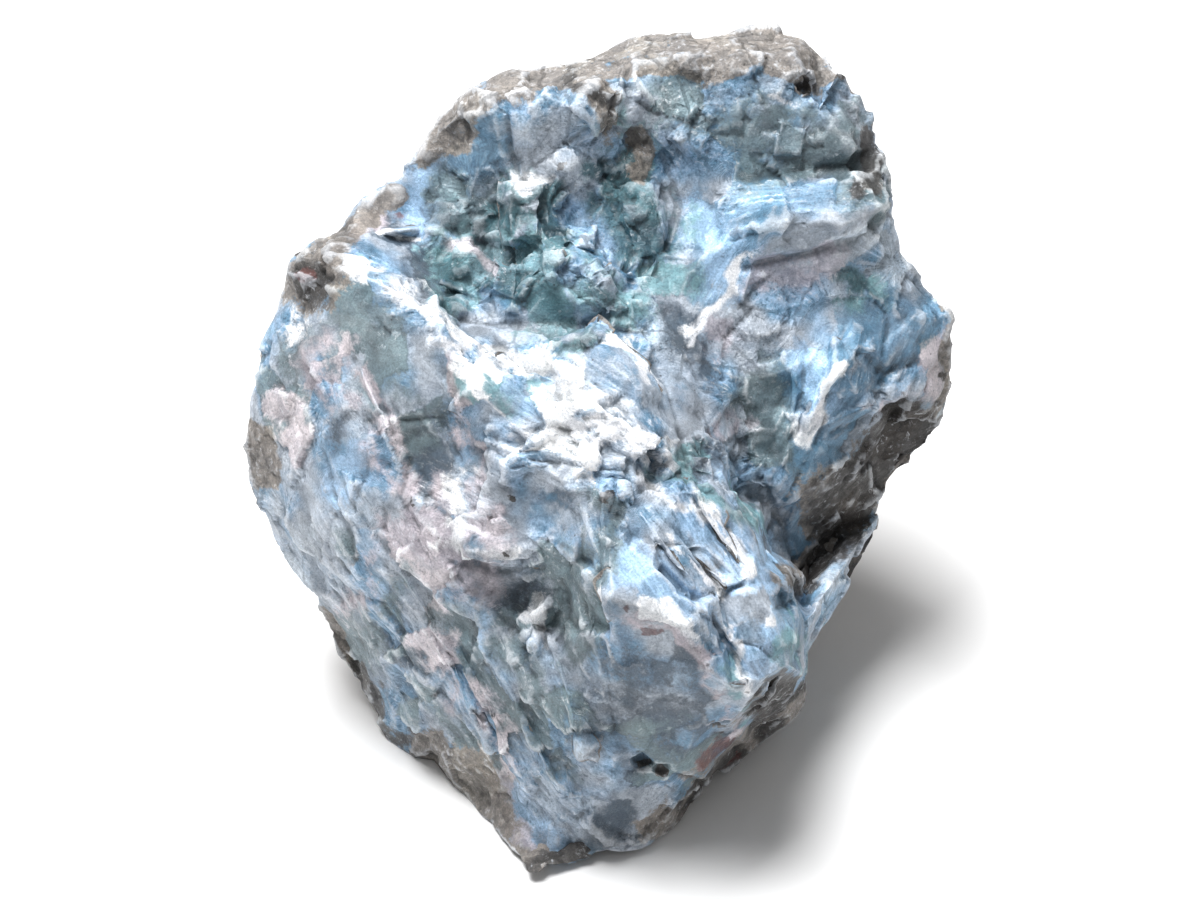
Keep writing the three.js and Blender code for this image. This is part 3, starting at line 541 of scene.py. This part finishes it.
def chips(points, size, metric="DISTANCE"):
    """For each point, its offset from the middle of its chip and a repeatable direction and height."""
    offsets, leans, heights = [], [], []
    for p in points / size:
        place = Vector(p)
        seed = noise.voronoi(place, distance_metric=metric)[1][0]
        offsets.append(place - seed)
        leans.append(noise.cell_vector(seed * 91.7) * 2 - Vector((1, 1, 1)))
        heights.append(noise.cell(seed * 57.3) * 2 - 1)
    return np.array(offsets) * size, np.array(leans), np.array(heights)


def leaning(chip_table, tilt, step):
    """The height of each point on its chip. Chips lean by the tilt and differ in height by the step."""
    offset, lean, height = chip_table
    return np.einsum("ij,ij->i", offset, lean) * tilt + height * step


def fibre_places(points, masks):
    """Places for a noise that draws the fibres: fans that spread, or the fibres of a region."""
    spread, apart, middle = 4.4, 60, 0.2
    offset, _, height = chips(points, FAN_SIZE)
    aims = offset / np.maximum(np.linalg.norm(offset, axis=1), middle)[:, None]
    places = aims * spread + height[:, None] * apart
    for name, line in FIBRE_LINES.items():
        share = smoothstep(masks[name], -0.1, 0.4)[:, None]
        places = places * (1 - share) + stretched(points, line, STREAK_STRETCH) * share
    return places


def refine(bm, fine, coarse):
    """Divides long edges until none is longer than wanted: fine on the side that the viewer sees."""
    towards = Vector(TOWARDS)
    turned_away = -0.12
    for _ in range(MOST_PASSES):
        long_edges = []
        for edge in bm.edges:
            facing = max((face.normal.dot(towards) for face in edge.link_faces), default=1)
            if edge.calc_length() > (fine if facing > turned_away else coarse):
                long_edges.append(edge)
        if not long_edges:
            return
        bmesh.ops.subdivide_edges(bm, edges=long_edges, cuts=1, use_grid_fill=True, use_single_edge=True)
        wide = [face for face in bm.faces if len(face.verts) > 3]
        bmesh.ops.triangulate(bm, faces=wide, quad_method="SHORT_EDGE", ngon_method="EAR_CLIP")


def soften(bm):
    """Rounds the ridges a little, but leaves the flat spot flat and the crystals and the nose crisp."""
    seen = as_seen(np.array([vert.co for vert in bm.verts]) / MM)
    crisp = np.maximum(coverage(seen, STROKES["blocks"]), coverage(seen, STROKES["nose"])) > 0
    free = [vert for vert, stays in zip(bm.verts, crisp) if vert.co.z > FLAT_SPOT * MM and not stays]
    bmesh.ops.smooth_vert(bm, verts=free, factor=0.5, use_axis_x=True, use_axis_y=True, use_axis_z=True)


def closely_divided(node, fine, coarse):
    """A finely divided copy of the stone's solid, with its ridges rounded as broken stone is."""
    bm = bmesh.new()
    bm.from_mesh(node.data)
    bmesh.ops.remove_doubles(bm, verts=bm.verts, dist=MERGE_DISTANCE * MM)
    bmesh.ops.dissolve_degenerate(bm, edges=bm.edges, dist=MERGE_DISTANCE * MM)
    bmesh.ops.triangulate(bm, faces=bm.faces)
    refine(bm, ROUNDED_EDGE * MM, FAR_ROUNDED_EDGE * MM)
    soften(bm)
    refine(bm, fine, coarse)
    mesh = bpy.data.meshes.new("larimar")
    bm.to_mesh(mesh)
    bm.free()
    return mesh


def vertex_table(mesh, attribute):
    """A row of three numbers for each vertex: its place or its normal."""
    table = np.zeros(len(mesh.vertices) * 3)
    mesh.vertices.foreach_get(attribute, table)
    return table.reshape(-1, 3)


def set_attribute(mesh, name, values):
    mesh.attributes.new(name, "FLOAT", "POINT").data.foreach_set("value", values.astype(np.float32))


def ring_mean(mesh, values, rings):
    """The mean of each point's neighbours, over a few rings of them."""
    pairs = np.zeros(len(mesh.edges) * 2, dtype=np.int32)
    mesh.edges.foreach_get("vertices", pairs)
    a, b = pairs.reshape(-1, 2).T
    counts = np.bincount(np.concatenate([a, b]), minlength=len(values)).reshape(-1, *[1] * (values.ndim - 1))
    mean = values.copy()
    for _ in range(rings):
        total = np.zeros_like(mean)
        np.add.at(total, a, mean[b])
        np.add.at(total, b, mean[a])
        mean = total / counts
    return mean


def mineral_masks(points, facing, hidden, facet):
    """How far each point is inside each kind of stroke: above 0 inside, and -1 or less well outside."""
    seen = as_seen(points)
    wide, small, ragged = (
        drift(points + shift, size)[:, :2] * reach for size, reach, shift in (WIDE_BENDS, SMALL_BENDS, RAGGED_BENDS)
    )
    masks = {}
    for name, strokes in STROKES.items():
        places = seen + (ragged if name in SPOTS else wide + small)
        masks[name] = coverage(places, strokes) * (1 - hidden) - hidden
        if name in SPOTS:
            masks[name] -= 2 * smoothstep(facing, 0.4, 0.1)
        if name in MIXED:
            masks[name] += FACET_PULL * facet
    for name, (share, size) in FAR_SIDE.items():
        patches = share + PATCH_CONTRAST * unevenness(points + size * 9, size)
        masks[name] = np.maximum(masks[name], hidden * patches - (1 - hidden))
    return masks


def relief(points, masks, facing, chip_table, sizes):
    """How far each point of the stone stands out of its solid, in millimetres."""
    seen = as_seen(points)
    front = smoothstep(facing, -0.2, 0.15)
    rind = np.maximum(smoothstep(masks["rind"], -0.1, 0.4), 1 - front)
    smooth, blocks, flakes = (smoothstep(masks[name], 0, 0.4) * front for name in ("smooth", "blocks", "flakes"))

    warp = drift(points, WARP_SIZE)
    chip = leaning(chip_table, sizes.chip_tilt, CHIP_STEP)
    small_chip = leaning(chips(points + warp * SMALL_CHIP_WARP, SMALL_CHIP_SIZE), SMALL_CHIP_TILT, SMALL_CHIP_STEP)
    block = leaning(chips(points, sizes.block_size / MM, "CHEBYCHEV"), BLOCK_TILT, sizes.block_step / MM)
    small_lump = unevenness(points + 17, SMALL_LUMP_SIZE) * (0.2 + 0.3 * front)
    lump = unevenness(points, LUMP_SIZE) + small_lump
    grit = unevenness(points + 5, GRIT_SIZE) * front

    height = chip * (1 - SMOOTH_CHIPS * smooth)
    height += small_chip * (1 - SMOOTH_SMALL_CHIPS * smooth) * (SMALL_CHIPS + FLAKE_CHIPS * flakes)
    height += block * blocks
    width = sizes.fibre_width / MM
    for name, line in FIBRE_LINES.items():
        fibrous = smoothstep(masks[name], 0, 0.5) * front * (1 - SMOOTH_FIBRES * smooth)
        along = stretched(points + warp * FIBRE_WARP, line, RELIEF_STRETCH)
        bundles = 1 - np.abs(unevenness(along, width * BUNDLE_WIDTH)) * BUNDLE_FALL
        needles = unevenness(along + 9, width * NEEDLE_WIDTH)
        height += (bundles * BUNDLE_DEPTH + needles * NEEDLE_DEPTH) * sizes.fibre_depth / MM * fibrous
    height += lump * rind * sizes.rind_height / MM * 0.5
    height += grit * (GRIT + RIND_GRIT * rind + BLOCK_GRIT * blocks) * (1 - smooth)
    for half_width, depth, *line in CREASES:
        across = distance_to_line(seen + warp[:, :2] * CREASE_WARP, line) / half_width
        height -= depth * np.clip(1 - across, 0, 1) * front * CREASE_DEPTH
    return height * smoothstep(points[:, 2], RELIEF_BEGINS, RELIEF_IS_FULL)


# Larimar, a blue pectolite, broken and not polished: dull to silky faces, fans of fine fibres that
# catch the light, snow white flakes on the ridges, glassy green crystals and a gritty brown rind.
# A white highlight is painted on the ridges and shade is painted into the hollows.
def broken_larimar(colours):
    material = bpy.data.materials.new("broken_larimar")
    material.use_nodes = True
    tree = material.node_tree
    shader = tree.nodes["Principled BSDF"]
    smooth_step = {"interpolation_type": "SMOOTHSTEP"}
    mix = {"data_type": "RGBA"}
    multiply = {"data_type": "RGBA", "blend_type": "MULTIPLY"}

    places = add_node(tree, "ShaderNodeTexCoord").outputs["Object"]
    mm = add_node(tree, "ShaderNodeVectorMath", {"operation": "SCALE"}, {0: places, "Scale": 1 / MM}).outputs[0]
    fibre_at = add_node(tree, "ShaderNodeAttribute", {"attribute_name": "fibre_at"}).outputs["Vector"]
    values = {}
    for name in (*MINERALS, "smooth", "blocks", "edge", "facet"):
        values[name] = add_node(tree, "ShaderNodeAttribute", {"attribute_name": name}).outputs["Fac"]
    for name, (size, detail, roughness) in PATTERNS.items():
        values[name] = add_node(tree, "ShaderNodeTexNoise", {}, {
            "Vector": fibre_at if name == "streaks" else mm,
            "Scale": 1 / size,
            "Detail": detail,
            "Roughness": roughness,
        }).outputs[0]

    # Flat splinters, each with a lean and a shade of its own, and a dark speck in the middle of some.
    splinters = add_node(tree, "ShaderNodeTexVoronoi", {}, {"Vector": mm, "Scale": 1 / SPLINTER_SIZE})
    splinter_colour = splinters.outputs["Color"]
    minus = {"operation": "SUBTRACT"}
    lean = add_node(tree, "ShaderNodeVectorMath", minus, {0: splinter_colour, 1: (0.5, 0.5, 0.5)}).outputs[0]
    across = add_node(tree, "ShaderNodeVectorMath", minus, {0: mm, 1: splinters.outputs["Position"]}).outputs[0]
    dot = {"operation": "DOT_PRODUCT"}
    values["splinter"] = add_node(tree, "ShaderNodeVectorMath", dot, {0: lean, 1: across}).outputs["Value"]
    values["from_speck"] = splinters.outputs["Distance"]
    splinter_share = add_node(tree, "ShaderNodeSeparateColor", {}, {0: splinter_colour}).outputs[0]

    def added_up(**weights):
        """The named values added up, each with its weight."""
        total = 0.0
        for name, weight in weights.items():
            inputs = {0: values[name], 1: weight, 2: total}
            total = add_node(tree, "ShaderNodeMath", {"operation": "MULTIPLY_ADD"}, inputs).outputs[0]
        return total

    def laid_over(colour, name, tone_share, share):
        """The colour with a share of a mineral over it, whose two tones follow a pattern."""
        deep, light = two_tones(getattr(colours, name))
        mineral = add_node(tree, "ShaderNodeMix", mix, {0: tone_share, 6: deep, 7: light}).outputs[2]
        return add_node(tree, "ShaderNodeMix", mix, {0: share, 6: colour, 7: mineral}).outputs[2]

    # Shares that follow a value from low to high: of sky blue, of the lilac clouds and their tones, of
    # the lighter tone of each mineral, of a facet's and a grain's lighter shade.
    shares = {}
    for name, value, low, high in (
        ("sky", added_up(streaks=0.6, mottle=0.5), 0.45, 0.65),
        ("clouds", values["clouds"], 0.4, 0.62),
        ("cloud_tones", values["streaks"], 0.3, 0.7),
        ("streaks", values["streaks"], 0.36, 0.64),
        ("mottle", values["mottle"], 0.36, 0.64),
        ("fray", values["fray"], 0.36, 0.64),
        ("facet", values["facet"], -0.8, 0.8),
        ("grain", values["grain"], 0.3, 0.7),
    ):
        shares[name] = add_node(tree, "ShaderNodeMapRange", smooth_step, {0: value, 1: low, 2: high}).outputs[0]

    blues = {0: shares["sky"], 6: linear(colours.denim), 7: linear(colours.sky)}
    colour = add_node(tree, "ShaderNodeMix", mix, blues).outputs[2]
    colour = laid_over(colour, "lilac", shares["cloud_tones"], shares["clouds"])

    # Each mineral thins out into splashes and streaks towards its edge.
    ragged = added_up(fray=1.3, streaks=0.9, mottle=1.7)
    for name, (pattern, edge, purity) in MINERALS.items():
        reach = add_node(tree, "ShaderNodeMath", {"operation": "ADD"}, {0: values[name], 1: ragged}).outputs[0]
        span = {0: reach, 1: MINERAL_BEGINS, 2: MINERAL_BEGINS + edge, 4: purity}
        values[f"{name} cover"] = add_node(tree, "ShaderNodeMapRange", smooth_step, span).outputs[0]
        colour = laid_over(colour, name, shares[pattern], values[f"{name} cover"])

    # Strengths that are lower on smooth faces: of the bump, of the needles and of the gaps.
    lowered = []
    for most in (1.0, NEEDLES, GAPS):
        span = {0: values["smooth"], 2: 0.4, 3: most, 4: most * LEFT_ON_SMOOTH}
        lowered.append(add_node(tree, "ShaderNodeMapRange", smooth_step, span).outputs[0])
    calm, needles, gaps = lowered
    # The painted white highlight on the ridges, weaker on the blocky crystals.
    span = {0: values["blocks"], 2: 0.5, 3: RIDGE_HIGHLIGHT, 4: BLOCK_RIDGE_HIGHLIGHT}
    ridges = add_node(tree, "ShaderNodeMapRange", smooth_step, span).outputs[0]

    # Fine white needles with dark gaps between them, dark specks, a painted white highlight on the ridges and painted
    # shade in the hollows.
    for value, low, high, strength, blend, paint in (
        (added_up(streaks=0.7, fray=0.5), 0.64, 0.8, needles, mix, colours.white),
        (added_up(streaks=0.7, grain=0.4), 0.5, 0.38, gaps, multiply, GAP_COLOUR),
        (added_up(from_speck=1.0, clouds=0.14), 0.15, 0.1, SPECKS, mix, colours.dark),
        (values["edge"], 0.05, 0.25, ridges, mix, colours.white),
        (values["edge"], -0.03, -0.22, HOLLOW_SHADE, multiply, HOLLOW_SHADE_COLOUR),
    ):
        span = {0: value, 1: low, 2: high, 4: strength}
        share = add_node(tree, "ShaderNodeMapRange", smooth_step, span).outputs[0]
        colour = add_node(tree, "ShaderNodeMix", blend, {0: share, 6: colour, 7: linear(paint)}).outputs[2]

    for share, (darkest, lightest) in (
        (shares["facet"], FACET_SHADES),
        (splinter_share, SPLINTER_SHADES),
        (shares["grain"], GRAIN_SHADES),
    ):
        shade = add_node(tree, "ShaderNodeMix", mix, {0: share, 6: darkest, 7: lightest}).outputs[2]
        colour = add_node(tree, "ShaderNodeMix", multiply, {0: 1.0, 6: colour, 7: shade}).outputs[2]
    tree.links.new(colour, shader.inputs["Base Color"])

    # Silky to dull, and rougher still on the rind.
    span = {0: values["mottle"], 1: 0.35, 2: 0.65, 3: SILKY, 4: DULL}
    rough = add_node(tree, "ShaderNodeMapRange", smooth_step, span).outputs[0]
    inputs = {0: values["rind cover"], 1: RIND_ROUGHNESS, 2: rough}
    rough = add_node(tree, "ShaderNodeMath", {"operation": "MULTIPLY_ADD"}, inputs).outputs[0]
    tree.links.new(rough, shader.inputs["Roughness"])
    shader.inputs["IOR"].default_value = PECTOLITE_IOR

    inputs = {0: added_up(streaks=0.7, splinter=0.9), 1: calm, 2: added_up(grain=0.2)}
    height = add_node(tree, "ShaderNodeMath", {"operation": "MULTIPLY_ADD"}, inputs).outputs[0]
    bump = add_node(tree, "ShaderNodeBump", {}, {"Strength": 0.8, "Distance": BUMP_DEPTH * MM, "Height": height})
    tree.links.new(bump.outputs[0], shader.inputs["Normal"])
    return material


# Matt paper, as on a photographer's table: dull all over, so the floor has no shine.
def matt_paper(colour):
    material = bpy.data.materials.new("matt_paper")
    material.use_nodes = True
    shader = material.node_tree.nodes["Principled BSDF"]
    shader.inputs["Base Color"].default_value = linear(colour)
    shader.inputs["Roughness"].default_value = 0.9
    return material


def faced(thing, place, aim):
    """Puts a lamp or a camera at a place and turns it to a point."""
    thing.location = place
    thing.rotation_euler = (Vector(aim) - Vector(place)).to_track_quat("-Z", "Y").to_euler()


class LARIMAR_OT_stone(bpy.types.Operator):
    """Builds the rough larimar stone around the frame's solid"""

    bl_idname = "larimar.stone"
    bl_label = "Rough larimar stone"

    def execute(self, context):
        sizes = context.scene.larimar_sizes
        mesh = closely_divided(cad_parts["larimar_stone"], sizes.fine_edge, sizes.coarse_edge)
        points = vertex_table(mesh, "co") / MM
        normals = vertex_table(mesh, "normal")
        facing = normals @ TOWARDS
        hidden = 1 - smoothstep(facing, -0.25, 0.05)
        chip_table = chips(points + drift(points, WARP_SIZE) * CHIP_WARP, sizes.chip_size / MM)
        facet = chip_table[2]
        masks = mineral_masks(points, facing, hidden, facet)

        height = relief(points, masks, facing, chip_table, sizes)
        around = ring_mean(mesh, height, SLOPE_RINGS)
        height = np.clip(height, around - STEEPEST_STEP, around + STEEPEST_STEP)
        outwards = ring_mean(mesh, normals, OUTWARD_RINGS)
        outwards /= np.linalg.norm(outwards, axis=1)[:, None]
        moved = points + outwards * height[:, None]
        mesh.vertices.foreach_set("co", (moved * MM).ravel())
        mesh.update()

        normals = vertex_table(mesh, "normal")
        # How far each place stands out of its neighbours: the shader paints a highlight on the ridges and shade in
        # the hollows from it.
        stands_out = np.einsum("ij,ij->i", moved - ring_mean(mesh, moved, RIDGE_RINGS), normals)
        set_attribute(mesh, "edge", stands_out * (1 - LOST_ON_FAR_SIDE * hidden))
        set_attribute(mesh, "facet", facet)
        for name, values in masks.items():
            set_attribute(mesh, name, values)
        fibre_at = mesh.attributes.new("fibre_at", "FLOAT_VECTOR", "POINT")
        fibre_at.data.foreach_set("vector", fibre_places(points, masks).astype(np.float32).ravel())
        mesh.shade_smooth()
        mesh.set_sharp_from_angle(angle=SHARP_ANGLE)
        mesh.materials.append(broken_larimar(context.scene.larimar_colours))
        stone = bpy.data.objects.new("larimar", mesh)
        context.scene.collection.objects.link(stone)
        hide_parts("larimar_stone")
        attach(stone, "root")
        return {"FINISHED"}


class LARIMAR_OT_stage(bpy.types.Operator):
    """Lays the pale floor, hangs the soft lights and sets up the camera"""

    bl_idname = "larimar.stage"
    bl_label = "Stage, lights and camera"

    def execute(self, context):
        scene = context.scene
        settings = scene.larimar_stage
        bm = bmesh.new()
        bmesh.ops.create_grid(bm, x_segments=1, y_segments=1, size=settings.floor_reach)
        mesh = bpy.data.meshes.new("floor")
        bm.to_mesh(mesh)
        bm.free()
        mesh.materials.append(matt_paper(settings.floor))
        floor = bpy.data.objects.new("floor", mesh)
        scene.collection.objects.link(floor)

        softbox = bpy.data.lights.new("softbox", "AREA")
        softbox.energy = settings.key_power
        softbox.size = settings.key_size
        lamp = bpy.data.objects.new("softbox", softbox)
        faced(lamp, settings.key_place, settings.key_aim)
        scene.collection.objects.link(lamp)

        world = bpy.data.worlds.new("studio")
        world.use_nodes = True
        background = world.node_tree.nodes["Background"]
        background.inputs["Color"].default_value = (1, 1, 1, 1)
        background.inputs["Strength"].default_value = settings.fill
        scene.world = world
        scene.view_settings.view_transform = "Standard"

        lens = bpy.data.cameras.new("camera")
        lens.sensor_width = settings.film_width
        lens.lens = lens.sensor_width * VIEW_DISTANCE / VIEW_WIDTH
        lens.clip_start = 0.01
        camera = bpy.data.objects.new("camera", lens)
        middle = Vector((0, 0, MIDDLE_HEIGHT * MM))
        faced(camera, middle + Vector(TOWARDS) * settings.view_distance, middle)
        scene.collection.objects.link(camera)
        scene.camera = camera
        return {"FINISHED"}


class LARIMAR_PT_panel(bpy.types.Panel):
    """Lists the pieces of the larimar scene"""

    bl_idname = "LARIMAR_PT_panel"
    bl_label = "Larimar"
    bl_space_type = "VIEW_3D"
    bl_region_type = "UI"
    bl_category = "Larimar"

    def draw(self, context):
        for operator in (LARIMAR_OT_stone, LARIMAR_OT_stage):
            self.layout.operator(operator.bl_idname)


CLASSES = (LarimarSizes, LarimarColours, StageSettings, LARIMAR_OT_stone, LARIMAR_OT_stage, LARIMAR_PT_panel)


def register():
    for each in CLASSES:
        bpy.utils.register_class(each)
    bpy.types.Scene.larimar_sizes = bpy.props.PointerProperty(type=LarimarSizes)
    bpy.types.Scene.larimar_colours = bpy.props.PointerProperty(type=LarimarColours)
    bpy.types.Scene.larimar_stage = bpy.props.PointerProperty(type=StageSettings)


def unregister():
    del bpy.types.Scene.larimar_sizes
    del bpy.types.Scene.larimar_colours
    del bpy.types.Scene.larimar_stage
    for each in reversed(CLASSES):
        bpy.utils.unregister_class(each)


def main():
    register()
    bpy.ops.larimar.stone()
    bpy.ops.larimar.stage()


if __name__ == "__main__":
    main()
